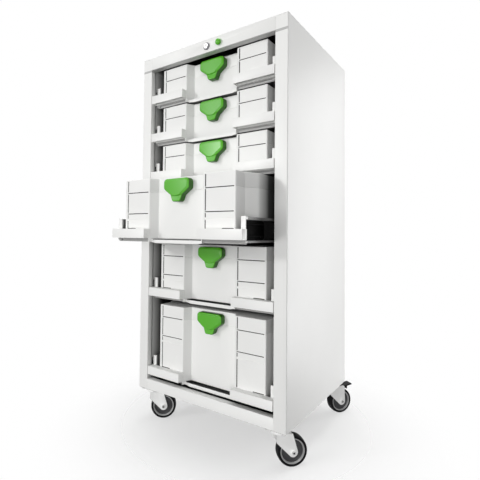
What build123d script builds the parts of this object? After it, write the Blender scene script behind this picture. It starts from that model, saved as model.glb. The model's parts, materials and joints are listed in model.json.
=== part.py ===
from build123d import *
import os

# Tool case storage cabinet on casters. Six drawer trays run on ball slides and each carries one
# tool case with a turning latch. Millimetres, +Z up, the front faces -Y. The origin is on the
# floor, under the middle of the body.

# Cases: a unit is the height step that all case sizes share
drawer_units = (2, 2, 2, 3, 3, 4)
unit_height = 52.5
unit_pitch = 58.0
case_width = 396.0
case_depth = 296.0
case_wall = 3.0
lid_height = 35.5
seam_chamfer = 0.8
case_edge_round = 3.0
lid_edge_round = 2.5
case_bottom_chamfer = 2.0
recess_half_width = 75.0
recess_depth = 22.0
recess_flare = 13.0
recess_round = 2.0
case_corner_inset = 18.5
case_waist_end = 38.0
case_shoulder = 72.0
case_corner_radius = 12.0

# Slots on the front blocks of a case that hold the label card
slot_depth = 1.6
label_slot_width = 3.0
label_line_height = 2.2
label_inset = 9.0
label_inner_inset = 5.5
label_end_inset = 5.0
label_line_drops = (35.5, 91.5, 107.5)
label_gap = 3.0
card_slot_width = 32.0
card_slot_height = 4.0
card_slot_level = 24.0

# Latch
latch_half_width = 41.5
latch_height = 58.0
latch_side_height = 25.5
latch_neck_drop = 41.0
latch_neck_half_width = 19.5
latch_tip_half_width = 12.0
latch_corner_radius = 10.0
latch_flank_radius = 9.0
latch_tip_radius = 7.0
latch_depth = 20.0
latch_bevel = 4.0
latch_drop = 5.5
latch_pivot_drop = 27.0
latch_gap = 2.0
latch_pin_radius = 3.0
latch_pin_reach = 10.0
latch_boss_radius = 9.0
catch_width = 22.0
catch_height = 8.0
catch_drop = 19.0

# Tray
sheet = 1.5
case_side_gap = 0.5
handle_depth = 20.0
handle_height = 24.0
handle_lift = 2.0
handle_inner = 87.0
handle_overhang = 3.0
lip_setback = 5.5
lip_top_drop = 1.7
lip_drop = 10.7
lip_deep_half_width = 68.0
field_drop = 7.0
field_depth = 60.0
strip_setback = 3.5
strip_drop = 7.5
post_width = 12.0
post_thickness = 2.0
post_rise = 54.5
post_drop = 5.4
channel_depth = 7.0
channel_top = 53.0
channel_drop = 4.5
channel_top_lip = 6.0
tray_stop_height = 30.0
tray_stop_gap = 0.5

# Ball slides
slide_length = 350.0
slide_height = 45.0
slide_thickness = 12.7
slide_wall = 1.2
slide_gap = 0.3
rail_side_gap = 0.4
slide_centre_rise = 23.5
outer_rail_depth = 10.0
ball_track = 3.0
cage_width = 4.0
cage_setback = 1.1
drawer_pull = 142.0
open_drawer = "drawer_4"

# Body
upright_width = 30.8
upright_depth = 40.0
stile_return = 16.0
stile_clearance = 2.5
bend_radius = 2.5
header_height = 37.0
header_return = 19.0
rail_height = 29.5
rail_return = 18.0
lowest_case_rise = 44.0
lowest_drawer_drop = 2.0
top_case_clearance = 2.0
back_space = 48.5

# Lock and button in the header
lock_radius = 10.0
lock_rim_length = 3.0
lock_body_radius = 8.5
lock_body_length = 15.0
barrel_radius = 7.0
barrel_proud = 4.6
key_slot_width = 1.6
key_slot_length = 8.0
key_slot_depth = 3.0
cam_length = 14.0
cam_width = 8.0
cam_thickness = 2.0
lock_level = 18.0
button_offset = 41.5
button_radius = 8.4
button_proud = 7.0
button_crown = 3.0
button_stem_radius = 4.5
button_stem_length = 12.0
button_travel = 3.0
button_head_gap = 3.5

# Casters
wheel_radius = 37.5
wheel_width = 25.0
tyre_shoulder = 2.0
rim_radius = 30.5
rim_face_setback = 3.0
rim_web_radius = 26.0
rim_web_setback = 6.0
hub_radius = 9.0
axle_radius = 4.0
axle_head_radius = 6.5
axle_head_height = 3.0
trail = 29.0
fork_plate = 2.5
wheel_side_gap = 1.0
fork_eye_radius = 11.5
fork_lead = 12.0
fork_tail = 28.0
fork_shoulder_drop = 20.0
tyre_gap = 4.0
crown_thickness = 2.5
crown_cutback = 2.0
swivel_head_height = 6.0
swivel_head_radius = 21.0
bearing_gap = 0.3
race_height = 4.2
race_radius = 19.0
mount_plate = 3.0
mount_plate_size = 60.0
kingpin_radius = 5.0
kingpin_head_radius = 8.0
kingpin_head_height = 5.0
plate_bolt_radius = 3.0
plate_bolt_head_radius = 5.5
plate_bolt_head_height = 4.0
plate_bolt_spacing = 44.0
caster_inset = 33.0
caster_headings = {"front_left": 40.0, "front_right": 45.0, "rear_left": 35.0, "rear_right": 55.0}

# Brake pedals on the rear casters
brake_hub_radius = 4.2
brake_ear_wall = 2.0
brake_pivot_ahead = 5.0
brake_pin_radius = 2.0
pedal_reach = 36.0
pedal_width = 24.0
pedal_thickness = 3.5
pedal_rise = 6.0
shoe_start = 10.0
shoe_length = 12.0
shoe_inset = 4.0
brake_press = 8.0
brake_gap = 0.9

# Fits and face clearances
running_fit = 0.05
face_gap = 0.3

# Derived sizes
half_case = case_width / 2
case_front_half_width = half_case - case_corner_inset
web_inner = half_case + case_side_gap
web_outer = web_inner + sheet
slide_outer = web_outer + slide_thickness
middle_outer = slide_outer - slide_wall - 3 * slide_gap
opening_half = middle_outer + rail_side_gap
half_width = slide_outer + upright_width + sheet
handle_outer = opening_half - stile_clearance
channel_outer = web_inner + channel_depth
slide_front = handle_depth + post_thickness
body_depth = slide_front + slide_length + back_space + sheet
front = -body_depth / 2
back = body_depth / 2

fork_inner = wheel_width / 2 + wheel_side_gap
plate_outer = fork_inner + fork_plate
crown_bottom = 2 * wheel_radius + tyre_gap
crown_top = crown_bottom + crown_thickness
brake_x = fork_tail + brake_pivot_ahead
brake_z = crown_top - brake_hub_radius / 2
head_top = crown_top + swivel_head_height
body_bottom = head_top + bearing_gap + race_height + mount_plate
top_case_level = body_bottom + lowest_case_rise + unit_pitch * sum(drawer_units[1:])
opening_top = top_case_level + unit_height * drawer_units[0] + top_case_clearance
body_top = opening_top + header_height
floor_inside = body_bottom + sheet
roof_inside = body_top - sheet


def box(x0, x1, y0, y1, z0, z1):
    """Straight-sided block between two opposite corners."""
    return Pos((x0 + x1) / 2, (y0 + y1) / 2, (z0 + z1) / 2) * Box(x1 - x0, y1 - y0, z1 - z0)


def pair(shape):
    """A shape on the right together with its mirror image on the left."""
    return shape + mirror(shape, about=Plane.YZ)


def plan(points, z0, z1):
    """Upright prism over a plan outline."""
    return extrude(Pos(0, 0, z0) * Polygon(*points, align=None), z1 - z0, dir=(0, 0, 1))


def along_y(section, y0, y1):
    """Prism along Y from a section drawn in X and Z."""
    return extrude(Plane.XZ.offset(-y0) * section, y1 - y0, dir=(0, 1, 0))


def patch(x0, x1, z0, z1):
    """Rectangle of a section."""
    return Pos((x0 + x1) / 2, (z0 + z1) / 2) * Rectangle(x1 - x0, z1 - z0)


def rod(radius, x, z, y0, y1):
    """Round bar along Y."""
    return along_y(Pos(x, z) * Circle(radius), y0, y1)


def post(radius, x, y, z0, z1):
    """Round bar along Z."""
    return Pos(x, y, (z0 + z1) / 2) * Cylinder(radius, z1 - z0)


def rounded(corners):
    """Closed face from corners of x, y and rounding radius."""
    face = Polygon(*[(x, y) for x, y, _ in corners], align=None)
    for x, y, radius in corners:
        if radius:
            face = fillet(face.vertices().sort_by_distance((x, y))[0], radius)
    return face


def mirrored(corners):
    """Corners on the right from top to bottom, then the same ones on the left."""
    return corners + [(-x, y, radius) for x, y, radius in reversed(corners)]


def save(name, shape):
    export_step(shape, f"parts/{name}.step")


def case_levels():
    """Level of each case bottom, from the top drawer down."""
    level = top_case_level
    levels = [level]
    for units in drawer_units[1:]:
        level -= unit_pitch * units
        levels.append(level)
    levels[-1] -= lowest_drawer_drop
    return levels


# Body of the cabinet


def side_panel():
    """Side wall folded round the front as a stile with a return lip."""
    lip = opening_half + sheet
    outline = [
        (half_width, back, 0),
        (half_width, front, bend_radius),
        (opening_half, front, sheet / 2),
        (opening_half, front + stile_return, 0),
        (lip, front + stile_return, 0),
        (lip, front + sheet, 0),
        (half_width - sheet, front + sheet, bend_radius - sheet),
        (half_width - sheet, back, 0),
    ]
    panel = extrude(Pos(0, 0, body_bottom) * rounded(outline), roof_inside - body_bottom, dir=(0, 0, 1))
    return panel - box(opening_half, lip, front + sheet, back, body_bottom, floor_inside)


def top_panel():
    """Roof with the header fold and its return above the drawers."""
    roof = box(-half_width, half_width, front, back, roof_inside, body_top)
    header = box(-opening_half, opening_half, front, front + sheet, opening_top, roof_inside)
    flange_top = opening_top + sheet
    flange = box(-opening_half, opening_half, front, front + header_return, opening_top, flange_top)
    z = opening_top + lock_level
    lock_hole = rod(lock_body_radius, 0, z, front, front + sheet)
    button_hole = rod(button_stem_radius + running_fit, button_offset, z, front, front + sheet)
    return roof + header + flange - lock_hole - button_hole


def base_panel():
    """Floor plate with the bottom rail fold and its return."""
    inner = half_width - sheet
    plate = box(-inner, inner, front + sheet, back, body_bottom, floor_inside)
    rail_top = body_bottom + rail_height
    rail = box(-opening_half, opening_half, front, front + sheet, body_bottom, rail_top)
    flange = box(-opening_half, opening_half, front, front + rail_return, rail_top - sheet, rail_top)
    return plate + rail + flange


def back_panel():
    inner = half_width - sheet
    return box(-inner, inner, back - sheet, back, floor_inside, roof_inside)


def slide_upright(y0, y1):
    """Folded channel between the side wall and the slides; its web is at y0."""
    web_y = sorted((y0, y0 + (sheet if y1 > y0 else -sheet)))
    low, high = min(y0, y1), max(y0, y1)
    outer = half_width - sheet
    web = box(slide_outer, outer, web_y[0], web_y[1], floor_inside, roof_inside)
    inner_leg = box(slide_outer, slide_outer + sheet, low, high, floor_inside, roof_inside)
    outer_leg = box(outer - sheet, outer, low, high, floor_inside, roof_inside)
    return web + inner_leg + outer_leg


def slide_uprights():
    y_front = front + slide_front
    y_rear = y_front + slide_length
    front_upright = slide_upright(y_front, y_front + upright_depth)
    rear_upright = slide_upright(y_rear, y_rear - upright_depth)
    return pair(front_upright + rear_upright)


# Telescopic slides, as sections in X and in Z from the slide's centre line


def channel_section(x_web, x_open, half_height):
    """C section with its web between x_web and the side away from x_open."""
    inward = -1 if x_open < x_web else 1
    web = sorted((x_web, x_web + inward * slide_wall))
    reach = sorted((x_web, x_open))
    face = patch(web[0], web[1], -half_height, half_height)
    face += patch(reach[0], reach[1], half_height - slide_wall, half_height)
    face += patch(reach[0], reach[1], -half_height, slide_wall - half_height)
    return face


def outer_rail_section():
    return channel_section(slide_outer, slide_outer - outer_rail_depth, slide_height / 2)


def middle_rail_section():
    """Middle member with the ball cages that run against both neighbours."""
    track = slide_height / 2 - slide_wall
    half_height = track - ball_track
    x_open = slide_outer - outer_rail_depth + 2 * slide_gap
    face = channel_section(middle_outer, x_open, half_height)
    cage_x = x_open + cage_setback
    cage_low = half_height - slide_wall - ball_track + slide_gap
    for sign in (1, -1):
        top = sorted((sign * cage_low, sign * (track - slide_gap)))
        face += patch(cage_x, cage_x + cage_width, top[0], top[1])
    return face


def inner_rail_section():
    """Inner member on a mounting strip as high as the slide."""
    half_height = slide_height / 2 - 2 * (slide_wall + ball_track)
    face = channel_section(web_outer, middle_outer - slide_wall - slide_gap, half_height)
    return face + patch(web_outer, web_outer + slide_wall, -slide_height / 2, slide_height / 2)


def rail_pair(section, y0, level):
    rail = along_y(section, y0, y0 + slide_length)
    return Pos(0, 0, level + slide_centre_rise) * pair(rail)


def outer_rails(levels):
    rails = [rail_pair(outer_rail_section(), front + slide_front, level) for level in levels]
    return Compound(children=[solid for rail in rails for solid in rail.solids()])


# Tray: y from the front of its handles, z from the bottom of the case


def handle_bar():
    """Pull bar, open below so that fingers reach in."""
    outside = box(handle_inner, handle_outer, 0, handle_depth, handle_lift, handle_lift + handle_height)
    hollow = box(
        handle_inner + sheet,
        handle_outer - sheet,
        sheet,
        handle_depth - sheet,
        handle_lift,
        handle_lift + handle_height - sheet,
    )
    apron = box(handle_inner, channel_outer, handle_depth - sheet, handle_depth, -sheet, handle_lift)
    strip_y = handle_depth + strip_setback
    strip = box(handle_inner, channel_outer, strip_y, strip_y + sheet, -strip_drop, 0)
    return outside - hollow + apron + strip


def handle_return():
    """Slanted plate from the handle back to the centre lip, with a hollow curved top edge."""
    lip_y = handle_depth + lip_setback
    inner_end = handle_inner - lip_setback * recess_flare / recess_depth
    outline = [
        (handle_inner, handle_depth - 2 * sheet),
        (handle_inner + sheet, handle_depth - 2 * sheet),
        (handle_inner + sheet, handle_depth),
        (handle_inner, handle_depth),
        (inner_end, lip_y),
        (inner_end, lip_y + sheet),
        (inner_end - sheet, lip_y + sheet),
        (inner_end - sheet, lip_y),
    ]
    wall = plan(outline, -strip_drop, handle_lift + handle_height)
    curve_level = lip_setback - lip_top_drop
    hollow = Pos(0, lip_y, curve_level) * Rot(0, 90, 0) * Cylinder(lip_setback, 4 * handle_inner)
    above = box(0, 2 * handle_inner, handle_depth, lip_y + sheet, curve_level, post_rise)
    behind = box(0, 2 * handle_inner, lip_y, lip_y + sheet, -lip_top_drop, post_rise)
    return wall - hollow - above - behind


def side_channel():
    """Channel that holds the slide's inner rail, open to the side."""
    face = patch(web_inner, web_outer, -channel_drop, channel_top)
    face += patch(web_inner, channel_outer, channel_top - sheet, channel_top)
    face += patch(channel_outer - sheet, channel_outer, channel_top - channel_top_lip, channel_top)
    face += patch(web_inner, channel_outer, -channel_drop, sheet - channel_drop)
    face += patch(channel_outer - sheet, channel_outer, -channel_drop, 0)
    return along_y(face, slide_front, slide_front + slide_length)


def centre_lip(half, lip_y):
    """Lip below the recess of the case, with its lower corners cut off."""
    right = [(half, -lip_top_drop, 0), (half, -strip_drop, 0), (lip_deep_half_width, -lip_drop, 0)]
    return along_y(rounded(mirrored(right)), lip_y, lip_y + sheet)


def sunken_field(half, y0, y1):
    """Lowered middle of the pan, from the lip back under the case."""
    low = -field_drop - sheet
    floor = box(-half, half, y0, y1, low, -field_drop)
    step = box(-half, half, y1 - sheet, y1, low, 0)
    return floor + step + pair(box(half - sheet, half, y0, y1, low, 0))


def tray():
    lip_y = handle_depth + lip_setback
    lip_half = handle_inner - lip_setback * recess_flare / recess_depth
    pan_front = handle_depth - sheet
    pan_back = handle_depth + case_depth + tray_stop_gap + sheet
    edge = [(web_outer, pan_back), (web_outer, pan_front), (handle_inner, pan_front), (lip_half, lip_y)]
    outline = edge + [(-x, y) for x, y in reversed(edge)]
    field_back = lip_y + field_depth
    pan = plan(outline, -sheet, 0) - box(-lip_half, lip_half, lip_y, field_back, -sheet, 0)
    pan += sunken_field(lip_half, lip_y, field_back)
    lip = centre_lip(lip_half, lip_y)
    stop = box(-web_inner, web_inner, pan_back - sheet, pan_back, -sheet, tray_stop_height)
    end_post = box(
        channel_outer - post_width, channel_outer, handle_depth, slide_front, -post_drop, post_rise
    )
    side = handle_bar() + handle_return() + side_channel() + end_post
    return pan + lip + stop + pair(side)


# Case: y from the front of the tray handles, z from the bottom of the case


def case_outline():
    """Plan of the case, with a flared recess in the middle of its front."""
    y = handle_depth
    right = [
        (recess_half_width, y + recess_depth, recess_round),
        (recess_half_width + recess_flare, y, case_edge_round),
        (case_front_half_width, y, case_edge_round),
        (case_front_half_width, y + case_waist_end, case_edge_round),
        (half_case, y + case_shoulder, case_corner_radius),
        (half_case, y + case_depth, case_corner_radius),
    ]
    return rounded(mirrored(right))


def case_shell(z0, z1):
    return extrude(Pos(0, 0, z0) * case_outline(), z1 - z0, dir=(0, 0, 1))


def case_hollow(z0, z1):
    face = offset(case_outline(), -case_wall)
    return extrude(Pos(0, 0, z0) * face, z1 - z0, dir=(0, 0, 1))


def label_slots(height):
    """Card slots in the front blocks: one upright line broken by level lines, and a low entry slot."""
    y0 = handle_depth
    y1 = y0 + slot_depth
    inner = recess_half_width + recess_flare
    spans = (
        (-case_front_half_width + label_inset, -inner - label_end_inset, "low"),
        (inner + label_inner_inset, case_front_half_width - label_end_inset, "high"),
    )
    lines = [height - drop for drop in label_line_drops if height - drop > card_slot_level + label_gap]
    cuts = []
    for x0, x1, entry_end in spans:
        for z in lines:
            cuts.append(box(x0, x1, y0, y1, z - label_line_height / 2, z + label_line_height / 2))
        tops = [height] + lines
        for top, bottom in zip(tops, lines + [card_slot_level]):
            cuts.append(box(x0, x0 + label_slot_width, y0, y1, bottom + label_gap, top - label_gap))
        entry = (x0, x0 + card_slot_width) if entry_end == "low" else (x1 - card_slot_width, x1)
        cuts.append(box(entry[0], entry[1], y0, y1, card_slot_level, card_slot_level + card_slot_height))
    return cuts


def case_body(units):
    height = units * unit_height
    seam = height - lid_height
    shell = case_shell(0, seam)
    shell = chamfer(shell.faces().sort_by(Axis.Z)[0].edges(), case_bottom_chamfer)
    shell = chamfer(shell.faces().sort_by(Axis.Z)[-1].edges(), seam_chamfer)
    shell -= case_hollow(case_wall, seam)
    catch_top = seam - catch_drop + catch_height
    recess = handle_depth + recess_depth
    catch_y = recess - latch_gap + face_gap
    half_catch = catch_width / 2
    shell += box(-half_catch, half_catch, catch_y, recess, catch_top - catch_height, catch_top)
    for cut in label_slots(height):
        shell -= cut
    return shell


def case_lid(units):
    height = units * unit_height
    seam = height - lid_height
    shell = case_shell(seam, height)
    shell = chamfer(shell.faces().sort_by(Axis.Z)[0].edges(), seam_chamfer)
    shell = fillet(shell.faces().sort_by(Axis.Z)[-1].edges(), lid_edge_round)
    shell -= case_hollow(seam, height - case_wall)
    recess = handle_depth + recess_depth
    z = height - latch_drop - latch_pivot_drop
    shell += rod(latch_boss_radius, 0, z, recess - latch_gap + face_gap, recess)
    shell += rod(latch_pin_radius, 0, z, recess - latch_gap - latch_pin_reach, recess)
    for cut in label_slots(height):
        shell -= cut
    return shell


def latch(units):
    """Turning latch, wide above its pivot and drawn in to a blunt tip below."""
    top = units * unit_height - latch_drop
    right = [
        (latch_half_width, top, latch_corner_radius),
        (latch_half_width, top - latch_side_height, latch_flank_radius),
        (latch_neck_half_width, top - latch_neck_drop, latch_flank_radius),
        (latch_tip_half_width, top - latch_height, latch_tip_radius),
    ]
    y_back = handle_depth + recess_depth - latch_gap
    body = along_y(rounded(mirrored(right)), y_back - latch_depth, y_back)
    body = chamfer(body.faces().sort_by(Axis.Y)[0].edges(), latch_bevel)
    bore_radius = latch_pin_radius + running_fit
    return body - rod(bore_radius, 0, top - latch_pivot_drop, y_back - latch_pin_reach - face_gap, y_back)


# Lock and release button in the header


def header_level():
    return opening_top + lock_level


def lock_housing():
    """Collar in front of the header and the sleeve behind it."""
    z = header_level()
    y0 = front - lock_rim_length
    y1 = front + lock_body_length
    collar = rod(lock_radius, 0, z, y0, front)
    sleeve = rod(lock_body_radius, 0, z, front, y1)
    return collar + sleeve - rod(barrel_radius + running_fit, 0, z, y0, y1)


def lock_barrel():
    """Turning plug with its key slot, and the cam behind the sleeve."""
    z = header_level()
    y_face = front - barrel_proud
    y_cam = front + lock_body_length + face_gap
    plug = rod(barrel_radius, 0, z, y_face, y_cam)
    key_slot = box(
        -key_slot_width / 2,
        key_slot_width / 2,
        y_face,
        y_face + key_slot_depth,
        z - key_slot_length / 2,
        z + key_slot_length / 2,
    )
    cam = box(0, cam_length, y_cam, y_cam + cam_thickness, z - cam_width / 2, z + cam_width / 2)
    hub = rod(barrel_radius, 0, z, y_cam, y_cam + cam_thickness)
    return plug + hub + cam - key_slot


def release_button():
    """Domed push button on a stem through the header."""
    z = header_level()
    y_back = front - button_head_gap
    y_face = y_back - button_proud
    head = rod(button_radius, button_offset, z, y_face, y_back)
    head = fillet(head.faces().sort_by(Axis.Y)[0].edges(), button_crown)
    return head + rod(button_stem_radius, button_offset, z, y_back, front + button_stem_length)


# Casters: x along the trail from the swivel axis, y along the axle, z from the floor

def hull_plate(circles, corners):
    """Plate in X and Z whose outline is pulled tight round circles and corner points."""
    edges = [edge for x, z, radius in circles for edge in (Pos(x, z) * Circle(radius)).edges()]
    edges += [Edge.make_line(a, b) for a, b in zip(corners, corners[1:])]
    return make_hull(edges)


def fork(braked):
    corners = [
        (-fork_lead, crown_top),
        (-fork_lead, crown_top - fork_shoulder_drop),
        (fork_tail, crown_top),
    ]
    circles = [(trail, wheel_radius, fork_eye_radius)]
    if braked:
        circles.append((brake_x, brake_z, brake_hub_radius + brake_ear_wall))
    face = hull_plate(circles, corners)
    plates = along_y(face, -plate_outer, -fork_inner) + along_y(face, fork_inner, plate_outer)
    crown = box(-fork_lead, fork_tail - crown_cutback, -fork_inner, fork_inner, crown_bottom, crown_top)
    head = post(swivel_head_radius, 0, 0, crown_top, head_top)
    solid = plates + crown + head
    solid += rod(axle_radius, trail, wheel_radius, -plate_outer, plate_outer)
    head_outer = plate_outer + axle_head_height
    for y0, y1 in ((-head_outer, -plate_outer), (plate_outer, head_outer)):
        solid += rod(axle_head_radius, trail, wheel_radius, y0, y1)
    if braked:
        solid += rod(brake_pin_radius, brake_x, brake_z, -plate_outer, plate_outer)
    return solid - post(kingpin_radius + running_fit, 0, 0, crown_bottom, head_top)


def caster_rim():
    """Wheel centre: a bright ring under the tyre, a dished web and a hub that bears on the axle."""
    half = wheel_width / 2 - rim_face_setback
    hub_half = fork_inner - face_gap
    rim = rod(rim_radius, trail, wheel_radius, -half, half)
    for sign in (1, -1):
        y0, y1 = sorted((sign * (half - rim_web_setback), sign * half))
        rim -= rod(rim_web_radius, trail, wheel_radius, y0, y1)
    rim += rod(hub_radius, trail, wheel_radius, -hub_half, hub_half)
    return rim - rod(axle_radius + running_fit, trail, wheel_radius, -hub_half, hub_half)


def caster_tyre():
    half = wheel_width / 2
    tyre = rod(wheel_radius, trail, wheel_radius, -half, half)
    tyre = chamfer(tyre.edges().filter_by(GeomType.CIRCLE), tyre_shoulder)
    return tyre - rod(rim_radius, trail, wheel_radius, -half, half)


def brake_lever():
    """Foot pedal with a shoe that stops just above the tyre when the pedal is down."""
    half = pedal_width / 2
    lever = rod(brake_hub_radius, brake_x, brake_z, -half, half)
    tip_x = brake_x + pedal_reach
    z = brake_z
    blade = [
        (brake_x, z - pedal_thickness / 2),
        (tip_x, z - pedal_thickness / 2 + pedal_rise),
        (tip_x, z + pedal_thickness / 2 + pedal_rise),
        (brake_x, z + pedal_thickness / 2),
    ]
    lever += along_y(Polygon(*blade, align=None), -half, half)
    shoe_x = brake_x + shoe_start
    slope = pedal_rise / pedal_reach
    shoe_end = shoe_x + shoe_length
    shoe = [
        (shoe_x, wheel_radius),
        (shoe_end, wheel_radius),
        (shoe_end, z + slope * (shoe_start + shoe_length)),
        (shoe_x, z + slope * shoe_start),
    ]
    lever += along_y(Polygon(*shoe, align=None), shoe_inset - half, half - shoe_inset)
    wheel = rod(wheel_radius + brake_gap, trail, wheel_radius, -wheel_width, wheel_width)
    lever -= Pos(brake_x, 0, z) * Rot(0, -brake_press, 0) * Pos(-brake_x, 0, -z) * wheel
    return lever - rod(brake_pin_radius + running_fit, brake_x, brake_z, -half, half)


def caster_mounting():
    """Plate under the floor with the upper race, the kingpin and four bolts."""
    half = mount_plate_size / 2
    race_bottom = head_top + bearing_gap
    plate_bottom = body_bottom - mount_plate
    solid = box(-half, half, -half, half, plate_bottom, body_bottom)
    solid += post(race_radius, 0, 0, race_bottom, plate_bottom)
    solid += post(kingpin_radius, 0, 0, crown_bottom - face_gap, race_bottom)
    head_bottom = crown_bottom - face_gap - kingpin_head_height
    solid += post(kingpin_head_radius, 0, 0, head_bottom, crown_bottom - face_gap)
    step = plate_bolt_spacing / 2
    for x in (-step, step):
        for y in (-step, step):
            solid += post(plate_bolt_head_radius, x, y, plate_bottom - plate_bolt_head_height, plate_bottom)
    return solid


def corner_places():
    x = half_width - caster_inset
    y = body_depth / 2 - caster_inset
    return {
        "front_left": (-x, -y),
        "front_right": (x, -y),
        "rear_left": (-x, y),
        "rear_right": (x, y),
    }


# Build and write every node

os.makedirs("parts", exist_ok=True)
levels = case_levels()

save("side_panels", pair(side_panel()))
save("top_panel", top_panel())
save("base_panel", base_panel())
save("back_panel", back_panel())
save("slide_uprights", slide_uprights())
save("outer_rails", outer_rails(levels))
save("lock_housing", lock_housing())
save("lock_barrel", lock_barrel())
save("release_button", release_button())

tray_shape = tray()
bodies = {units: case_body(units) for units in set(drawer_units)}
lids = {units: case_lid(units) for units in set(drawer_units)}
latches = {units: latch(units) for units in set(drawer_units)}
for number, (units, level) in enumerate(zip(drawer_units, levels), start=1):
    pull = drawer_pull if f"drawer_{number}" == open_drawer else 0.0
    place = Pos(0, front - pull, level)
    save(f"tray_{number}", place * tray_shape)
    save(f"case_body_{number}", place * bodies[units])
    save(f"case_lid_{number}", place * lids[units])
    save(f"latch_{number}", place * latches[units])
    y = front + slide_front
    save(f"middle_rails_{number}", rail_pair(middle_rail_section(), y - pull / 2, level))
    save(f"inner_rails_{number}", rail_pair(inner_rail_section(), y - pull, level))

mounting = caster_mounting()
places = corner_places()
save("caster_mountings", Compound(children=[Pos(x, y, 0) * mounting for x, y in places.values()]))
for corner, (x, y) in places.items():
    braked = corner.startswith("rear")
    place = Pos(x, y, 0) * Rot(0, 0, caster_headings[corner])
    save(f"caster_fork_{corner}", place * fork(braked))
    save(f"caster_rim_{corner}", place * caster_rim())
    save(f"caster_tyre_{corner}", place * caster_tyre())
    if braked:
        save(f"brake_lever_{corner}", place * brake_lever())
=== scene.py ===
import json
import math

import bmesh
import bpy
import numpy as np
from mathutils import Matrix, Vector

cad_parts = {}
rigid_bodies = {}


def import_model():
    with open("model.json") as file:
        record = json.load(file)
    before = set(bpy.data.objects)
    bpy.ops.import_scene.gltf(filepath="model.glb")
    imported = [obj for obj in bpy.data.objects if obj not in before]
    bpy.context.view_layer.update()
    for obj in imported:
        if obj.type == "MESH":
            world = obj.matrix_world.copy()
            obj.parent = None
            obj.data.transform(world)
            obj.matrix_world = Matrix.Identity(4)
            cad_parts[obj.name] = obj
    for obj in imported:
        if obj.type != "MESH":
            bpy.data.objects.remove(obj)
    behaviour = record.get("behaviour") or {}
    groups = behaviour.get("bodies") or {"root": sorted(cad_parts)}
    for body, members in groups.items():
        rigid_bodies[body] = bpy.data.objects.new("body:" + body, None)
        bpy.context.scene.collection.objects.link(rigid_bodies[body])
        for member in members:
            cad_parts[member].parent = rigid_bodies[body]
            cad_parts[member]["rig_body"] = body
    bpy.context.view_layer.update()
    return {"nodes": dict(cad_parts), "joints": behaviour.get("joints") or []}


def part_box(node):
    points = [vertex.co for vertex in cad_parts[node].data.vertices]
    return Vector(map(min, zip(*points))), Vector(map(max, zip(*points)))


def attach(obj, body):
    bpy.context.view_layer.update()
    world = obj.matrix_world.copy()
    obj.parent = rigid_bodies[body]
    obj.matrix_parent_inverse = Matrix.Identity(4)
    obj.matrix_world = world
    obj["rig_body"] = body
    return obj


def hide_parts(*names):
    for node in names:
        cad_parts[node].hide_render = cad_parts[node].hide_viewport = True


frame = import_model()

MM = 0.001
scene = bpy.context.scene

# Camera, from the corners of the body and the cases in the photograph
PHOTO_SIZE = 480
FOCAL_PIXELS = 393.8
AXIS_PIXEL = (217.2, 221.2)
SENSOR_WIDTH = 36.0
CAMERA_PLACE = Vector((0.6528, -1.0594, 0.5605))
CAMERA_AZIMUTH = math.radians(35.76)
CAMERA_PITCH = math.radians(1.80)
CAMERA_ROLL = math.radians(0.59)
CAMERA_NEAR = 0.05


def make_camera():
    data = bpy.data.cameras.new("view_camera")
    camera = bpy.data.objects.new("view_camera", data)
    scene.collection.objects.link(camera)
    data.sensor_width = SENSOR_WIDTH
    data.lens = FOCAL_PIXELS * SENSOR_WIDTH / PHOTO_SIZE
    half = PHOTO_SIZE / 2
    data.shift_x = (half - AXIS_PIXEL[0]) / PHOTO_SIZE
    data.shift_y = (AXIS_PIXEL[1] - half) / PHOTO_SIZE
    data.clip_start = CAMERA_NEAR
    a, e, r = CAMERA_AZIMUTH, CAMERA_PITCH, CAMERA_ROLL
    forward = Vector((-math.sin(a) * math.cos(e), math.cos(a) * math.cos(e), math.sin(e)))
    right = Vector((math.cos(a), math.sin(a), 0))
    up = right.cross(forward)
    across = math.cos(r) * right + math.sin(r) * up
    upward = -math.sin(r) * right + math.cos(r) * up
    turn = Matrix((across, upward, -forward)).transposed()
    camera.matrix_world = Matrix.Translation(CAMERA_PLACE) @ turn.to_4x4()
    scene.camera = camera


make_camera()


# Places taken from the frame
DRAWERS = range(1, 7)
CORNERS = ("front_left", "front_right", "rear_left", "rear_right")
body_low, body_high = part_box("side_panels")
panel_low, panel_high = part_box("back_panel")
SHEET = panel_high.y - panel_low.y
joints = {joint["name"]: joint for joint in frame["joints"]}


# Node trees in short calls

NOISE_SPAN = (0.3, 0.7)
MOTTLE_SCALE = 9.0
MOTTLE_DETAIL = 3.0
GRAIN_DETAIL = 2.0
GRAIN_RELIEF = 0.35
ROUGHNESS_SPREAD = 0.05


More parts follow.
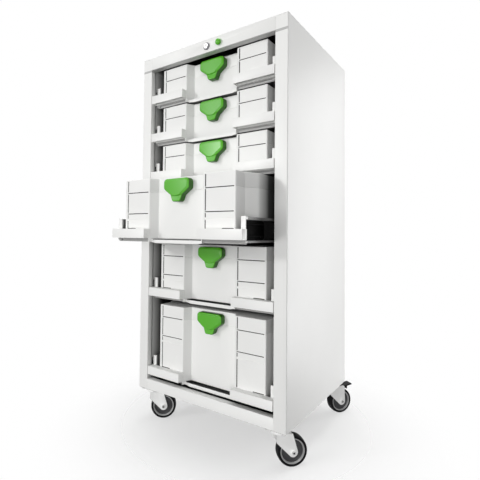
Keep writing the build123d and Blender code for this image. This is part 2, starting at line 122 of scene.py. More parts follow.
class Nodes:
    """Short calls that build one node tree."""

    def __init__(self, tree):
        self.tree = tree
        tree.nodes.clear()

    def node(self, kind, **values):
        node = self.tree.nodes.new(kind)
        for key, value in values.items():
            setattr(node, key, value)
        return node

    def link(self, start, end):
        self.tree.links.new(start, end)

    def feed(self, socket, value):
        if isinstance(value, bpy.types.NodeSocket):
            self.link(value, socket)
        else:
            socket.default_value = value

    def math(self, operation, *values):
        node = self.node("ShaderNodeMath", operation=operation)
        for socket, value in zip(node.inputs, values):
            self.feed(socket, value)
        return node.outputs[0]

    def product(self, *values):
        """Product of values; of masks, the places where all of them are 1."""
        result = values[0]
        for value in values[1:]:
            result = self.math("MULTIPLY", result, value)
        return result

    def ramp(self, value, start, end, low=0.0, high=1.0, **settings):
        """Goes from low to high while the value goes from start to end."""
        node = self.node("ShaderNodeMapRange", **settings)
        self.link(value, node.inputs["Value"])
        ends = zip(("From Min", "From Max", "To Min", "To Max"), (start, end, low, high))
        for socket, bound in ends:
            node.inputs[socket].default_value = bound
        return node.outputs["Result"]

    def split(self, vector):
        node = self.node("ShaderNodeSeparateXYZ")
        self.link(vector, node.inputs[0])
        return node.outputs

    def mix_shaders(self, factor, first, second):
        node = self.node("ShaderNodeMixShader")
        for socket, value in zip(node.inputs, (factor, first, second)):
            self.link(value, socket)
        return node.outputs[0]


def rgba(colour, factor=1.0):
    return tuple(c * factor for c in colour) + (1.0,)


class Paint(Nodes):
    """One material's tree, with its shader and the piece's own coordinates."""

    def __init__(self, name):
        self.material = bpy.data.materials.new(name)
        self.material.use_nodes = True
        super().__init__(self.material.node_tree)
        self.place = self.node("ShaderNodeTexCoord").outputs["Object"]
        self.shader = self.node("ShaderNodeBsdfPrincipled")
        self.output = self.node("ShaderNodeOutputMaterial")
        self.link(self.shader.outputs["BSDF"], self.output.inputs["Surface"])

    def noise(self, scale, detail, stretch):
        node = self.node("ShaderNodeTexNoise")
        node.inputs["Scale"].default_value = scale
        node.inputs["Detail"].default_value = detail
        start = self.place
        if stretch:
            mapping = self.node("ShaderNodeMapping")
            mapping.inputs["Scale"].default_value = stretch
            self.link(start, mapping.inputs["Vector"])
            start = mapping.outputs["Vector"]
        self.link(start, node.inputs["Vector"])
        return node.outputs["Fac"]

    def mix(self, factor, first, second):
        node = self.node("ShaderNodeMix", data_type="RGBA")
        self.feed(node.inputs[0], factor)
        self.feed(node.inputs[6], first)
        self.feed(node.inputs[7], second)
        return node.outputs[2]

    def bump(self, height, strength, distance):
        node = self.node("ShaderNodeBump")
        node.inputs["Strength"].default_value = strength
        node.inputs["Distance"].default_value = distance
        self.link(height, node.inputs["Height"])
        self.link(node.outputs["Normal"], self.shader.inputs["Normal"])

    def paint_shade(self, mask, colour, factor):
        """Paints shade: lets the finish fall to a share of the colour where the mask is 1."""
        socket = self.shader.inputs["Base Color"]
        light = socket.links[0].from_socket
        self.link(self.mix(mask, light, rgba(colour, factor)), socket)


def surface(
    name, slot, colour, roughness, grain, depth, shade,
    stretch=None, metallic=0.0, gloss=0.5, ior=1.5,
):
    """A finish with mottled colour, uneven gloss and a fine grain in relief."""
    paint = Paint(name)
    mottle = paint.ramp(paint.noise(MOTTLE_SCALE, MOTTLE_DETAIL, stretch), *NOISE_SPAN)
    mottled = paint.mix(mottle, rgba(colour, 1 - shade), rgba(colour))
    paint.link(mottled, paint.shader.inputs["Base Color"])
    fine = paint.noise(grain, GRAIN_DETAIL, stretch)
    ends = roughness - ROUGHNESS_SPREAD, roughness + ROUGHNESS_SPREAD
    paint.link(paint.ramp(fine, *NOISE_SPAN, *ends), paint.shader.inputs["Roughness"])
    paint.bump(fine, GRAIN_RELIEF, depth)
    for socket, value in (("Metallic", metallic), ("Specular IOR Level", gloss), ("IOR", ior)):
        paint.shader.inputs[socket].default_value = value
    return paint


def grey(level):
    return (level, level, level)


# Finishes, and the places where shade is painted into them

COAT_COLOUR = (0.86, 0.86, 0.845)
GREEN = (0.085, 0.43, 0.010)
POWDER_COAT = dict(
    slot="white_coat", colour=COAT_COLOUR,
    roughness=0.42, grain=900.0, depth=0.00006, shade=0.015,
)
CASE_PLASTIC = dict(
    slot="white_plastic", colour=COAT_COLOUR,
    roughness=0.55, grain=1500.0, depth=0.00008, shade=0.02,
)
GREEN_PLASTIC = dict(
    slot="green_plastic", colour=GREEN,
    roughness=0.3, grain=1600.0, depth=0.00005, shade=0.08, gloss=0.4,
)

# Painted shade inside the body, by depth behind its front, and under the header fold
INSIDE_FADE = (0.003, 0.055)
INSIDE_SHADE = 0.04
HEADER_FOLD_DROP = 0.0065
HEADER_FOLD_SHADE = 0.55
# Painted shade on the tray behind its lip, and on the aprons under its handles
TRAY_FRONT_DEPTH = 0.029
TRAY_REAR_SHADE = 0.10
HANDLE_LIFT = 0.0018
HANDLE_START = 0.088
APRON_DEPTH = 0.0175
APRON_SHADE = 0.45
# Painted shade on the sides of a case behind the shoulder, by depth behind the tray's front
CASE_SIDE = 0.190
CASE_SHOULDER = (0.087, 0.094)
CASE_REAR = (0.092, 0.138)
CASE_REAR_START = 0.2
CASE_SIDE_SHADE = 0.04
# Painted shade on the walls behind the latch's face
LATCH_WALL = 0.0045
LATCH_WALL_BLUR = 0.001
LATCH_WALL_SHADE = 0.26


def body_coat():
    """Powder coat outside; inside the body painted shade grows with depth, and more painted shade
    lies under the header fold.
    """
    paint = surface("body_coat", **POWDER_COAT)
    axes = paint.split(paint.place)
    margin = SHEET / 2
    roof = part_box("top_panel")[1].z
    inside = paint.product(
        paint.math("LESS_THAN", paint.math("ABSOLUTE", axes["X"]), body_high.x - margin),
        paint.math("LESS_THAN", axes["Y"], body_high.y - margin),
        paint.math("GREATER_THAN", axes["Z"], body_low.z + margin),
        paint.math("LESS_THAN", axes["Z"], roof - margin),
    )
    # Painted shade inside the body, deepening behind the front
    depth = paint.ramp(axes["Y"], *(body_low.y + end for end in INSIDE_FADE))
    paint.paint_shade(paint.product(inside, depth), COAT_COLOUR, INSIDE_SHADE)
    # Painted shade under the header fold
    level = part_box("lock_housing")[0].z - HEADER_FOLD_DROP
    fold_shade = paint.product(
        inside,
        paint.math("GREATER_THAN", axes["Z"], level - HEADER_FOLD_DROP),
        paint.math("LESS_THAN", axes["Z"], level),
        paint.math("SUBTRACT", 1.0, depth),
    )
    paint.paint_shade(fold_shade, COAT_COLOUR, HEADER_FOLD_SHADE)
    return paint.material


def tray_coat(number):
    """Powder coat of a tray, with painted shade behind the lip and under the handles."""
    paint = surface(f"tray_coat_{number}", **POWDER_COAT)
    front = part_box(f"tray_{number}")[0].y
    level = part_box(f"case_body_{number}")[0].z
    axes = paint.split(paint.place)
    # Painted shade on the aprons under the handles
    apron_shade = paint.product(
        paint.math("LESS_THAN", axes["Z"], level + HANDLE_LIFT),
        paint.math("GREATER_THAN", paint.math("ABSOLUTE", axes["X"]), HANDLE_START),
        paint.math("GREATER_THAN", axes["Y"], front + APRON_DEPTH),
    )
    paint.paint_shade(apron_shade, COAT_COLOUR, APRON_SHADE)
    # Painted shade behind the lip, over the pan and the channels
    rear = paint.math("GREATER_THAN", axes["Y"], front + TRAY_FRONT_DEPTH)
    paint.paint_shade(rear, COAT_COLOUR, TRAY_REAR_SHADE)
    return paint.material


def case_plastic(number):
    """Case plastic; behind the shoulder, painted shade grows on the sides."""
    paint = surface(f"case_plastic_{number}", **CASE_PLASTIC)
    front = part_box(f"tray_{number}")[0].y
    axes = paint.split(paint.place)
    # Painted shade on the sides behind the shoulder
    sides = paint.product(
        paint.math("GREATER_THAN", paint.math("ABSOLUTE", axes["X"]), CASE_SIDE),
        paint.ramp(axes["Y"], *(front + end for end in CASE_SHOULDER)),
        paint.ramp(axes["Y"], *(front + end for end in CASE_REAR), CASE_REAR_START),
    )
    paint.paint_shade(sides, COAT_COLOUR, CASE_SIDE_SHADE)
    return paint.material


def latch_plastic(number):
    """Green plastic, with painted shade on the walls behind the latch's face."""
    paint = surface(f"latch_plastic_{number}", **GREEN_PLASTIC)
    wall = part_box(f"latch_{number}")[0].y + LATCH_WALL
    axes = paint.split(paint.place)
    # Painted shade on the walls behind the latch's face
    wall_shade = paint.ramp(axes["Y"], wall - LATCH_WALL_BLUR, wall + LATCH_WALL_BLUR)
    paint.paint_shade(wall_shade, GREEN, LATCH_WALL_SHADE)
    return paint.material


def finish(name, slot, colour, roughness, grain, depth, shade, **more):
    """A surface that is the same all over a piece."""
    return surface(name, slot, colour, roughness, grain, depth, shade, **more).material


BODY_COAT = body_coat()
TRAY_COATS = {number: tray_coat(number) for number in DRAWERS}
CASE_PLASTICS = {number: case_plastic(number) for number in DRAWERS}
LATCH_PLASTICS = {number: latch_plastic(number) for number in DRAWERS}
BUTTON_PLASTIC = surface("button_plastic", **GREEN_PLASTIC).material
FORK_COAT = finish("fork_coat", "white_coat", (0.95, 0.95, 0.94), 0.4, 900.0, 0.00006, 0.03)
SLIDE_STEEL = finish(
    "slide_steel", "slide_steel", grey(0.004), 0.5, 700.0, 0.00004, 0.3,
    stretch=(1.0, 0.05, 1.0), ior=1.06,
)
ZINC = finish("zinc", "zinc", (0.62, 0.62, 0.61), 0.3, 600.0, 0.00003, 0.15, metallic=0.9)
CHROME = finish("chrome", "chrome", (0.15, 0.15, 0.16), 0.28, 400.0, 0.00001, 0.05, metallic=1.0)
RUBBER = finish("rubber", "rubber", (0.008, 0.008, 0.009), 0.55, 900.0, 0.0001, 0.3, ior=1.15)
WHEEL_PLASTIC = finish(
    "wheel_plastic", "grey_plastic", (0.055, 0.055, 0.058), 0.42, 800.0, 0.00005, 0.25, ior=1.35
)
RING_PLASTIC = finish("ring_plastic", "grey_plastic", grey(0.50), 0.35, 700.0, 0.00004, 0.1)
PEDAL_PLASTIC = finish(
    "pedal_plastic", "black_plastic", grey(0.006), 0.3, 900.0, 0.00006, 0.3, ior=1.10
)
# Dark finish for painted shade: the floors of the card slots, the key slot and the axle sockets
SLOT_SHADE = finish("slot_shade", "black_plastic", grey(0.03), 0.7, 700.0, 0.00004, 0.2, ior=1.05)


def dress(node, material):
    """Gives a CAD node its finish."""
    slots = frame["nodes"][node].data.materials
    slots.clear()
    slots.append(material)


# Making pieces

MERGE_DISTANCE = 1e-6
POINT_MERGE_DISTANCE = 1e-7
FLAT_ANGLE = math.radians(1.0)
EDGE_ANGLE = math.radians(28)
EDGE_SEGMENTS = 2
CORNER_STEPS = 12


def add_piece(name, mesh, material, body, replaces=()):
    """Puts a finished mesh in the scene as a piece that rides on a body."""
    piece = bpy.data.objects.new(name, mesh)
    scene.collection.objects.link(piece)
    if not mesh.materials:
        mesh.materials.append(material)
    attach(piece, body)
    if replaces:
        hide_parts(*replaces)
    return piece


def mesh_of(work, name):
    """Turns a finished bmesh into a mesh."""
    mesh = bpy.data.meshes.new(name)
    work.to_mesh(mesh)
    work.free()
    return mesh


def add_block(work, middle, size):
    scale = Matrix.Diagonal((*size, 1))
    bmesh.ops.create_cube(work, size=1, matrix=Matrix.Translation(middle) @ scale)


def from_faces(name, points, faces):
    mesh = bpy.data.meshes.new(name)
    mesh.from_pydata([tuple(p) for p in points], [], faces)
    mesh.validate()
    for face in mesh.polygons:
        face.use_smooth = True
    return mesh


def outward(mesh):
    """Points every face of a closed mesh outwards."""
    work = bmesh.new()
    work.from_mesh(mesh)
    bmesh.ops.remove_doubles(work, verts=work.verts, dist=POINT_MERGE_DISTANCE)
    bmesh.ops.recalc_face_normals(work, faces=work.faces)
    work.to_mesh(mesh)
    work.free()
    return mesh


def softened(node, material, width):
    """A copy of a CAD node with rounded edges, which stands for it."""
    source = frame["nodes"][node]
    mesh = source.data.copy()
    mesh.materials.clear()
    work = bmesh.new()
    work.from_mesh(mesh)
    bmesh.ops.remove_doubles(work, verts=work.verts, dist=MERGE_DISTANCE)
    bmesh.ops.dissolve_limit(work, angle_limit=FLAT_ANGLE, verts=work.verts, edges=work.edges)
    work.to_mesh(mesh)
    work.free()
    for face in mesh.polygons:
        face.use_smooth = True
    piece = add_piece(f"{node}_skin", mesh, material, source["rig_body"], (node,))
    bevel = piece.modifiers.new("edge_rounding", "BEVEL")
    bevel.width = width
    bevel.segments = EDGE_SEGMENTS
    bevel.limit_method = "ANGLE"
    bevel.angle_limit = EDGE_ANGLE
    bevel.harden_normals = True


def rounded_outline(corners, count):
    """Evenly spaced points round a closed outline; each corner is x, z and its radius."""
    path = []
    total = len(corners)
    for index, (x, z, radius) in enumerate(corners):
        here = Vector((x, z))
        before = (Vector(corners[index - 1][:2]) - here).normalized()
        after = (Vector(corners[(index + 1) % total][:2]) - here).normalized()
        half_angle = before.angle(after) / 2
        reach = radius / math.tan(half_angle)
        centre = here + (before + after).normalized() * radius / math.sin(half_angle)
        start, end = here + before * reach - centre, here + after * reach - centre
        turn = start.angle_signed(end)
        for step in range(CORNER_STEPS + 1):
            path.append(centre + Matrix.Rotation(-turn * step / CORNER_STEPS, 2) @ start)
    loop = np.array([tuple(p) for p in path + path[:1]])
    lengths = np.concatenate([[0], np.cumsum(np.linalg.norm(np.diff(loop, axis=0), axis=1))])
    marks = np.linspace(0, lengths[-1], count, endpoint=False)
    return np.stack([np.interp(marks, lengths, loop[:, k]) for k in (0, 1)], axis=1)


def smoothstep(value, low, high):
    t = np.clip((value - low) / (high - low), 0, 1)
    return t * t * (3 - 2 * t)


# Latches

LATCH_RIGHT = ((41.5, 27.0, 10.0), (41.5, 1.5, 9.0), (19.5, -14.0, 9.0), (12.0, -31.0, 7.0))
LATCH_CORNERS = LATCH_RIGHT + tuple((-x, z, radius) for x, z, radius in reversed(LATCH_RIGHT))
LATCH_DEPTH = 20.0
LATCH_SHOULDER = 3.4
LATCH_RIM_DEPTH = 1.6
LATCH_RIM = (4.0, 5.2)
LATCH_LEDGE = -17.0
LATCH_LEDGE_CURVE = 0.012
LATCH_LEDGE_STEP = 2.0
LATCH_LEDGE_BLUR = 0.7
LATCH_LEDGE_FADE = 14.0
LATCH_CROWN = 0.9
LATCH_THINNEST = 1.0
LATCH_SHARP = math.radians(50)
LATCH_STEPS = 168
LATCH_RINGS = 46


def latch_face_depth(points, outline):
    """How far each point of the latch's front lies behind its foremost plane."""
    runs = np.roll(outline, -1, axis=0) - outline
    offset = points[:, None, :] - outline[None]
    along = np.clip((offset * runs).sum(2) / (runs * runs).sum(1), 0, 1)
    edge = np.linalg.norm(offset - along[..., None] * runs, axis=2).min(1)
    x, z = points[:, 0], points[:, 1]
    inner = np.clip(edge, 0, LATCH_SHOULDER)
    shoulder = LATCH_SHOULDER - np.sqrt(LATCH_SHOULDER**2 - (LATCH_SHOULDER - inner) ** 2)
    ledge = LATCH_LEDGE + LATCH_LEDGE_CURVE * x * x
    above = smoothstep(z, ledge - LATCH_LEDGE_BLUR, ledge + LATCH_LEDGE_BLUR)
    plateau = LATCH_RIM_DEPTH * smoothstep(edge, *LATCH_RIM) * above
    low = np.clip((ledge - z) / LATCH_LEDGE_FADE, 0, 1)
    step = LATCH_LEDGE_STEP * (1 - low) * (1 - above)
    crown = LATCH_CROWN * (x / LATCH_CORNERS[0][0]) ** 2
    return shoulder + LATCH_RIM_DEPTH - plateau + step + crown


def make_latch(number):
    node = f"latch_{number}"
    pivot = Vector(joints[f"{node}_turn"]["pos_m"])
    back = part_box(node)[1].y
    outline = rounded_outline(LATCH_CORNERS, LATCH_STEPS)
    scales = 1 - np.arange(LATCH_RINGS) / LATCH_RINGS
    front = np.concatenate([outline * s for s in scales] + [np.zeros((1, 2))])
    depth = np.minimum(latch_face_depth(front, outline), LATCH_DEPTH - LATCH_THINNEST)
    ys = back - (LATCH_DEPTH - depth) * MM
    points = [(p[0] * MM, y, pivot.z + p[1] * MM) for p, y in zip(front, ys)]
    centre = len(points) - 1
    rear = len(points)
    points += [(p[0] * MM, back, pivot.z + p[1] * MM) for p in outline]
    faces = []
    for step in range(LATCH_STEPS):
        after = (step + 1) % LATCH_STEPS
        for ring in range(LATCH_RINGS - 1):
            a, b = ring * LATCH_STEPS, (ring + 1) * LATCH_STEPS
            faces.append((a + step, a + after, b + after, b + step))
        last = (LATCH_RINGS - 1) * LATCH_STEPS
        faces.append((last + step, last + after, centre))
        faces.append((rear + step, rear + after, after, step))
    faces.append(tuple(range(rear, rear + LATCH_STEPS)))
    mesh = outward(from_faces(f"{node}_cap", points, faces))
    for face in mesh.polygons:
        face.use_smooth = len(face.vertices) < 5
    mesh.set_sharp_from_angle(angle=LATCH_SHARP)
    add_piece(f"{node}_cap", mesh, LATCH_PLASTICS[number], node, (node,))


# Card slots of the cases: painted shade, as dark strips at the bottom of the cuts

SLOT_DEPTH = 1.6
STRIP_LIFT = 0.8
FRONT_BLOCK = (88.0, 179.5)
SLOT_EDGE_INSET = 9.0
SLOT_INNER_INSET = 5.5
SLOT_END_INSET = 5.0
UPRIGHT_WIDTH = 3.0
LINE_HEIGHT = 2.2
LINE_DROPS = (35.5, 91.5, 107.5)
DARK_LINES = 2
SLOT_BREAK = 3.0
ENTRY_LEVEL = 24.0
ENTRY_SIZE = (32.0, 4.0)


def slot_strips(height):
    """Rectangles of the slots in X and in Z from the case bottom, in millimetres."""
    inner, outer = FRONT_BLOCK
    spans = (
        (SLOT_EDGE_INSET - outer, -inner - SLOT_END_INSET, False),
        (inner + SLOT_INNER_INSET, outer - SLOT_END_INSET, True),
    )
    lines = [height - d for d in LINE_DROPS if height - d > ENTRY_LEVEL + SLOT_BREAK]
    strips = []
    for x0, x1, right in spans:
        strips += [(x0, x1, z - LINE_HEIGHT / 2, z + LINE_HEIGHT / 2) for z in lines[:DARK_LINES]]
        for top, bottom in zip([height] + lines, lines + [ENTRY_LEVEL]):
            strips.append((x0, x0 + UPRIGHT_WIDTH, bottom + SLOT_BREAK, top - SLOT_BREAK))
        start = x1 - ENTRY_SIZE[0] if right else x0
        strips.append((start, start + ENTRY_SIZE[0], ENTRY_LEVEL, ENTRY_LEVEL + ENTRY_SIZE[1]))
    return strips


def make_slot_strips(number):
    name = f"card_slot_shade_{number}"
    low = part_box(f"case_body_{number}")[0]
    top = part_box(f"case_lid_{number}")[1].z
    y = low.y + (SLOT_DEPTH - STRIP_LIFT / 2) * MM
    work = bmesh.new()
    for x0, x1, z0, z1 in slot_strips((top - low.z) / MM):
        middle = ((x0 + x1) / 2 * MM, y, low.z + (z0 + z1) / 2 * MM)
        add_block(work, middle, ((x1 - x0) * MM, STRIP_LIFT * MM, (z1 - z0) * MM))
    add_piece(name, mesh_of(work, name), SLOT_SHADE, f"drawer_{number}")


# Round pieces. Outlines give radius and offset along the axis, in millimetres.

ROUND_SHARP = math.radians(35)
ARC_POINTS = 6


def revolved(name, profile, centre, axis, steps):
    """Closed ring from a profile of radius and offset along the axis, in millimetres."""
    axis = Vector(axis).normalized()
    side = axis.cross(Vector((0, 0, 1)) if abs(axis.z) < 0.9 else Vector((1, 0, 0))).normalized()
    up = side.cross(axis)
    points = []
    for step in range(steps):
        angle = 2 * math.pi * step / steps
        ray = math.cos(angle) * side + math.sin(angle) * up
        points += [centre + (ray * radius + axis * offset) * MM for radius, offset in profile]
    size = len(profile)
    faces = []
    for step in range(steps):
        a, b = step * size, (step + 1) % steps * size
        faces += [(a + k, a + (k + 1) % size, b + (k + 1) % size, b + k) for k in range(size)]
    mesh = outward(from_faces(name, points, faces))
    mesh.set_sharp_from_angle(angle=ROUND_SHARP)
    return mesh


def arc(radius, offset, size, start, end):
    """Part of a profile: a quarter round about radius and offset, angles in degrees."""
    angles = np.radians(np.linspace(start, end, ARC_POINTS))
    return [(radius + size * math.cos(a), offset + size * math.sin(a)) for a in angles]


def both_ways(half):
    """A profile's positive side, outside in, with its mirror image to close it."""
    return half + [(radius, -offset) for radius, offset in reversed(half)]


WHEEL_STEPS = 96
WHEEL_HALF = 12.5
WHEEL_RADIUS = 37.5
RIM_RADIUS = 30.5
AXLE_RADIUS = 4.0
TYRE = both_ways(
    [(WHEEL_RADIUS, 0.0), (WHEEL_RADIUS, 4.0), (WHEEL_RADIUS - 0.5, 7.5)]
    + arc(WHEEL_RADIUS - 4.2, WHEEL_HALF - 3.7, 3.7, 8, 90)
    + [(RIM_RADIUS + 0.4, WHEEL_HALF - 0.6), (RIM_RADIUS, WHEEL_HALF - 1.4)]
)
RIM_RING = both_ways(
    [(RIM_RADIUS, 0.0), (RIM_RADIUS, 10.6)]
    + arc(RIM_RADIUS - 1.2, 10.6, 1.1, 0, 180)
    + [(RIM_RADIUS - 3.2, 9.0), (RIM_RADIUS - 3.2, 0.0)]
)
WHEEL_DISC = both_ways(
    [(RIM_RADIUS - 3.2, 7.6), (RIM_RADIUS - 5.0, 7.2), (RIM_RADIUS - 7.5, 4.6)]
    + [(17.0, 4.2), (14.5, 5.4), (11.5, 9.4), (9.0, 12.6), (8.4, 13.2), (AXLE_RADIUS + 0.1, 13.2)]
)


def make_wheel(corner):
    joint = joints[f"wheel_{corner}_spin"]
    centre, axis = Vector(joint["pos_m"]), joint["axis"]
    parts = (
        ("tyre", TYRE, RUBBER, (f"caster_tyre_{corner}",)),
        ("rim_ring", RIM_RING, RING_PLASTIC, (f"caster_rim_{corner}",)),
        ("wheel_disc", WHEEL_DISC, WHEEL_PLASTIC, ()),
    )
    for part, outline, material, replaces in parts:
        name = f"{part}_{corner}"
        mesh = revolved(name, outline, centre, axis, WHEEL_STEPS)
        add_piece(name, mesh, material, f"wheel_{corner}", replaces)


KEY_SLOT = (1.5, 7.8)
KEY_SLOT_DEPTH = 3.0
KEY_SLOT_FLOOR = (0.2, 1.0)


def make_key_slot():
    """Painted shade: a dark floor in the key slot of the lock's plug."""
    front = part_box("lock_barrel")[0].y
    start, end = (share * KEY_SLOT_DEPTH * MM for share in KEY_SLOT_FLOOR)
    level = joints["lock_turn"]["pos_m"][2]
    work = bmesh.new()
    middle = (0, front + (start + end) / 2, level)
    add_block(work, middle, (KEY_SLOT[0] * MM, end - start, KEY_SLOT[1] * MM))
    add_piece("key_slot_shade", mesh_of(work, "key_slot_shade"), SLOT_SHADE, "lock_barrel")


COLLAR_BORE = 7.05
COLLAR_SHANK = 8.5
COLLAR_STEPS = 64
COLLAR = (
    [(COLLAR_BORE, 0.6), (7.6, 0.0)]
    + arc(8.6, 1.4, 1.4, -90, 0)
    + [(10.0, 3.0), (COLLAR_SHANK, 3.0)]
)
DOME_TIP = 0.02
BUTTON_STEM = 4.5
DOME_STEPS = 48
DOME = [
    (DOME_TIP, 0.0), (2.6, 0.15), (4.9, 0.9), (6.8, 2.1), (7.9, 3.7), (8.4, 5.4), (8.4, 6.6),
    (8.0, 7.0), (BUTTON_STEM, 7.0),
]


def make_header_fitting(name, node, outline, tail_radii, steps, material, body):
    """Turns an outline about a header node's middle and carries it to the node's end."""
    low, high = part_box(node)
    centre = Vector(((low.x + high.x) / 2, low.y, (low.z + high.z) / 2))
    tail = [(radius, (high.y - low.y) / MM) for radius in tail_radii]
    mesh = revolved(name, outline + tail, centre, (0, 1, 0), steps)
    add_piece(name, mesh, material, body, (node,))


def make_header_fittings():
    """Rounded lock collar and domed button in front of the header."""
    make_header_fitting(
        "lock_collar", "lock_housing", COLLAR, (COLLAR_SHANK, COLLAR_BORE), COLLAR_STEPS,
        CHROME, "cabinet",
    )
    make_header_fitting(
        "button_dome", "release_button", DOME, (BUTTON_STEM, DOME_TIP), DOME_STEPS,
        BUTTON_PLASTIC, "release_button",
    )


# Fasteners by geometry nodes. A head is its radius and height in millimetres.

HEAD_TAPER = 0.86
HEX = 6
ROUND = 16


def fastener_tree(name, material, sides):
    """Heads set on a mesh's points, turned to each point's normal."""
    tree = bpy.data.node_groups.new(name, "GeometryNodeTree")
    face = tree.interface
    face.new_socket("Geometry", in_out="INPUT", socket_type="NodeSocketGeometry")
    radius = face.new_socket("Head radius", in_out="INPUT", socket_type="NodeSocketFloat")
    height = face.new_socket("Head height", in_out="INPUT", socket_type="NodeSocketFloat")
    face.new_socket("Geometry", in_out="OUTPUT", socket_type="NodeSocketGeometry")
    nodes, links = tree.nodes, tree.links
    start, end = nodes.new("NodeGroupInput"), nodes.new("NodeGroupOutput")
    head = nodes.new("GeometryNodeMeshCone")
    head.inputs["Vertices"].default_value = sides
    shrink = nodes.new("ShaderNodeMath")
    shrink.operation = "MULTIPLY"
    shrink.inputs[1].default_value = HEAD_TAPER
    links.new(start.outputs["Head radius"], shrink.inputs[0])
    links.new(shrink.outputs[0], head.inputs["Radius Top"])
    links.new(start.outputs["Head radius"], head.inputs["Radius Bottom"])
    links.new(start.outputs["Head height"], head.inputs["Depth"])
    turn = nodes.new("FunctionNodeAlignRotationToVector")
    turn.axis = "Z"
    way = nodes.new("GeometryNodeInputNamedAttribute")
    way.data_type = "FLOAT_VECTOR"
    way.inputs["Name"].default_value = "way"
    links.new(way.outputs["Attribute"], turn.inputs["Vector"])
    spots = nodes.new("GeometryNodeInstanceOnPoints")
    links.new(start.outputs["Geometry"], spots.inputs["Points"])
    links.new(head.outputs["Mesh"], spots.inputs["Instance"])
    links.new(turn.outputs["Rotation"], spots.inputs["Rotation"])
    real = nodes.new("GeometryNodeRealizeInstances")
    paint = nodes.new("GeometryNodeSetMaterial")
    paint.inputs["Material"].default_value = material
    links.new(spots.outputs["Instances"], real.inputs["Geometry"])
    links.new(real.outputs["Geometry"], paint.inputs["Geometry"])
    links.new(paint.outputs["Geometry"], end.inputs["Geometry"])
    return tree, radius.identifier, height.identifier


def make_fasteners(name, places, body, material, head, sides):
    """One piece of equal heads; each place is a point and the way it faces."""
    tree, radius_id, height_id = fastener_tree(f"{name}_tree", material, sides)
    mesh = bpy.data.meshes.new(f"{name}_points")
    mesh.from_pydata([tuple(p) for p, _ in places], [], [])
    ways = mesh.attributes.new("way", "FLOAT_VECTOR", "POINT")
    for index, (_, way) in enumerate(places):
        ways.data[index].vector = way
    carrier = bpy.data.objects.new(f"{name}_points", mesh)
    scene.collection.objects.link(carrier)
    modifier = carrier.modifiers.new("heads", "NODES")
    modifier.node_group = tree
    modifier[radius_id] = head[0] * MM
    modifier[height_id] = head[1] * MM
    graph = bpy.context.evaluated_depsgraph_get()
    made = bpy.data.meshes.new_from_object(carrier.evaluated_get(graph))
    bpy.data.objects.remove(carrier)
    made.name = name
    add_piece(name, made, material, body)


FORK_OUTER = 16.0
AXLE_HEAD = 3.0
AXLE_NUT = (5.4, 2.4)
AXLE_NUT_SINK = 0.2
AXLE_SOCKET = (3.0, 0.3)
AXLE_SOCKET_RISE = 2.2


def make_axle_nuts(corner):
    joint = joints[f"wheel_{corner}_spin"]
    centre, axis = Vector(joint["pos_m"]), Vector(joint["axis"])
    reach = (FORK_OUTER + AXLE_HEAD - AXLE_NUT_SINK) * MM
    places = [(centre + axis * reach * sign, axis * sign) for sign in (1, -1)]
    body = f"fork_{corner}"
    make_fasteners(f"axle_nuts_{corner}", places, body, ZINC, AXLE_NUT, HEX)
    # Painted shade: dark discs on the nuts stand for the hollow of each axle's hex socket
    places = [(point + way * AXLE_SOCKET_RISE * MM, way) for point, way in places]
    make_fasteners(f"axle_sockets_{corner}", places, body, SLOT_SHADE, AXLE_SOCKET, HEX)


RIVET_EDGE = 12.0
RIVET_ROWS = 7
RIVET = (3.2, 1.2)
RIVET_SINK = 0.2


def make_back_rivets():
    """Rivet heads that hold the back panel along both sides."""
    y = panel_high.y - RIVET_SINK * MM
    low, high = panel_low.z + RIVET_EDGE * MM, panel_high.z - RIVET_EDGE * MM
    places = []
    for x in (panel_low.x + RIVET_EDGE * MM, panel_high.x - RIVET_EDGE * MM):
        for row in range(RIVET_ROWS):
            z = low + (high - low) * row / (RIVET_ROWS - 1)
            places.append((Vector((x, y, z)), Vector((0, 1, 0))))
    make_fasteners("back_rivets", places, "cabinet", BODY_COAT, RIVET, ROUND)


# Dressing the frame

PANEL_EDGE = 0.0006
TRAY_EDGE = 0.0004
CASE_EDGE = 0.0003
FORK_EDGE = 0.0005
PEDAL_EDGE = 0.0006

for node in ("side_panels", "top_panel", "base_panel"):
    softened(node, BODY_COAT, PANEL_EDGE)
for node in ("back_panel", "slide_uprights"):
    dress(node, BODY_COAT)
dress("outer_rails", SLIDE_STEEL)
dress("caster_mountings", ZINC)
dress("lock_barrel", ZINC)

for number in DRAWERS:
    softened(f"tray_{number}", TRAY_COATS[number], TRAY_EDGE)
    softened(f"case_body_{number}", CASE_PLASTICS[number], CASE_EDGE)
    softened(f"case_lid_{number}", CASE_PLASTICS[number], CASE_EDGE)
    dress(f"inner_rails_{number}", SLIDE_STEEL)
    dress(f"middle_rails_{number}", SLIDE_STEEL)
    make_latch(number)
    make_slot_strips(number)

for corner in CORNERS:
    softened(f"caster_fork_{corner}", FORK_COAT, FORK_EDGE)
    make_wheel(corner)
    make_axle_nuts(corner)
for corner in CORNERS[2:]:
    softened(f"brake_lever_{corner}", PEDAL_PLASTIC, PEDAL_EDGE)
make_header_fittings()
make_key_slot()
make_back_rivets()


# Studio

HORIZON = (-0.25, 0.15)
WORLD_LIGHT = (0.17, 0.26)
FLOOR_RADIUS = 4.0
FLOOR_SIDES = 96
FLOOR_LEVEL = 0.88
FLOOR_ROUGHNESS = 0.7
FLOOR_FADE = (0.1, 0.62)
FLOOR_CLEAR = 0.42


def make_lamp(name, place, target, size, power):
    """A rectangular lamp that points at the target; sizes in metres, power in watts."""
    data = bpy.data.lights.new(name, "AREA")
    data.shape = "RECTANGLE"
    data.size, data.size_y = size
    data.energy = power
    lamp = bpy.data.objects.new(name, data)
    scene.collection.objects.link(lamp)
    lamp.location = place
    lamp.rotation_euler = (Vector(target) - Vector(place)).to_track_quat("-Z", "Y").to_euler()


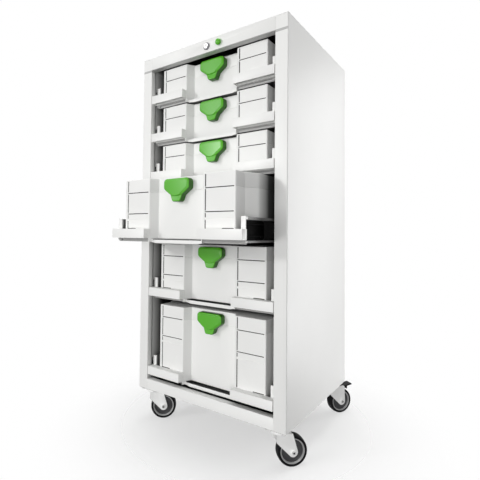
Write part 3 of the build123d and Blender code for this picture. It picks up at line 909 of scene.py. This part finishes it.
def make_world():
    """White to the camera and in reflections, a soft even light for the rest."""
    world = bpy.data.worlds.new("studio")
    world.use_nodes = True
    sky = Nodes(world.node_tree)
    rays = sky.node("ShaderNodeLightPath").outputs
    seen = sky.math("MAXIMUM", rays["Is Camera Ray"], rays["Is Transmission Ray"])
    seen = sky.math("MAXIMUM", seen, rays["Is Glossy Ray"])
    white, soft = sky.node("ShaderNodeBackground"), sky.node("ShaderNodeBackground")
    for light in (white, soft):
        light.inputs["Color"].default_value = rgba(grey(1.0))
    white.inputs["Strength"].default_value = 1.0
    height = sky.split(sky.node("ShaderNodeTexCoord").outputs["Generated"])["Z"]
    sky.link(sky.ramp(height, *HORIZON, *WORLD_LIGHT), soft.inputs["Strength"])
    output = sky.node("ShaderNodeOutputWorld")
    mixed = sky.mix_shaders(seen, soft.outputs[0], white.outputs[0])
    sky.link(mixed, output.inputs["Surface"])
    scene.world = world


def make_floor():
    """Pale round floor that fades out to the white background."""
    work = bmesh.new()
    bmesh.ops.create_circle(work, cap_ends=True, segments=FLOOR_SIDES, radius=FLOOR_RADIUS)
    mesh = mesh_of(work, "floor")
    floor = bpy.data.objects.new("floor", mesh)
    scene.collection.objects.link(floor)
    paint = Paint("floor_paint")
    paint.shader.inputs["Base Color"].default_value = rgba(grey(FLOOR_LEVEL))
    paint.shader.inputs["Roughness"].default_value = FLOOR_ROUGHNESS
    length = paint.node("ShaderNodeVectorMath", operation="LENGTH")
    paint.link(paint.place, length.inputs[0])
    fade = paint.ramp(
        length.outputs["Value"], *FLOOR_FADE, FLOOR_CLEAR, interpolation_type="SMOOTHSTEP"
    )
    clear = paint.node("ShaderNodeBsdfTransparent").outputs["BSDF"]
    mixed = paint.mix_shaders(fade, paint.shader.outputs["BSDF"], clear)
    paint.link(mixed, paint.output.inputs["Surface"])
    mesh.materials.append(paint.material)


make_world()
make_floor()
make_lamp("key", (-1.7, -3.1, 1.45), (0, 0, 0.5), (0.4, 0.4), 30.0)
make_lamp("sheen", (-1.95, -2.9, 2.3), (0, 0, 0.9), (1.0, 1.0), 11.0)
make_lamp("front_fill", (-0.8, -3.0, 0.1), (-0.1, 0, 0.1), (1.2, 0.6), 14.0)
make_lamp("right_fill", (1.5, -2.95, 0.6), (0, 0, 0.5), (1.4, 1.4), 32.0)
make_lamp("side_fill", (3.15, 6.2, 0.9), (0.245, 0.1, 0.6), (1.8, 8.0), 310.0)
make_lamp("overhead", (0.0, 0.4, 7.0), (0.0, 0.0, 0.0), (3.0, 3.0), 200.0)
scene.view_settings.view_transform = "Standard"
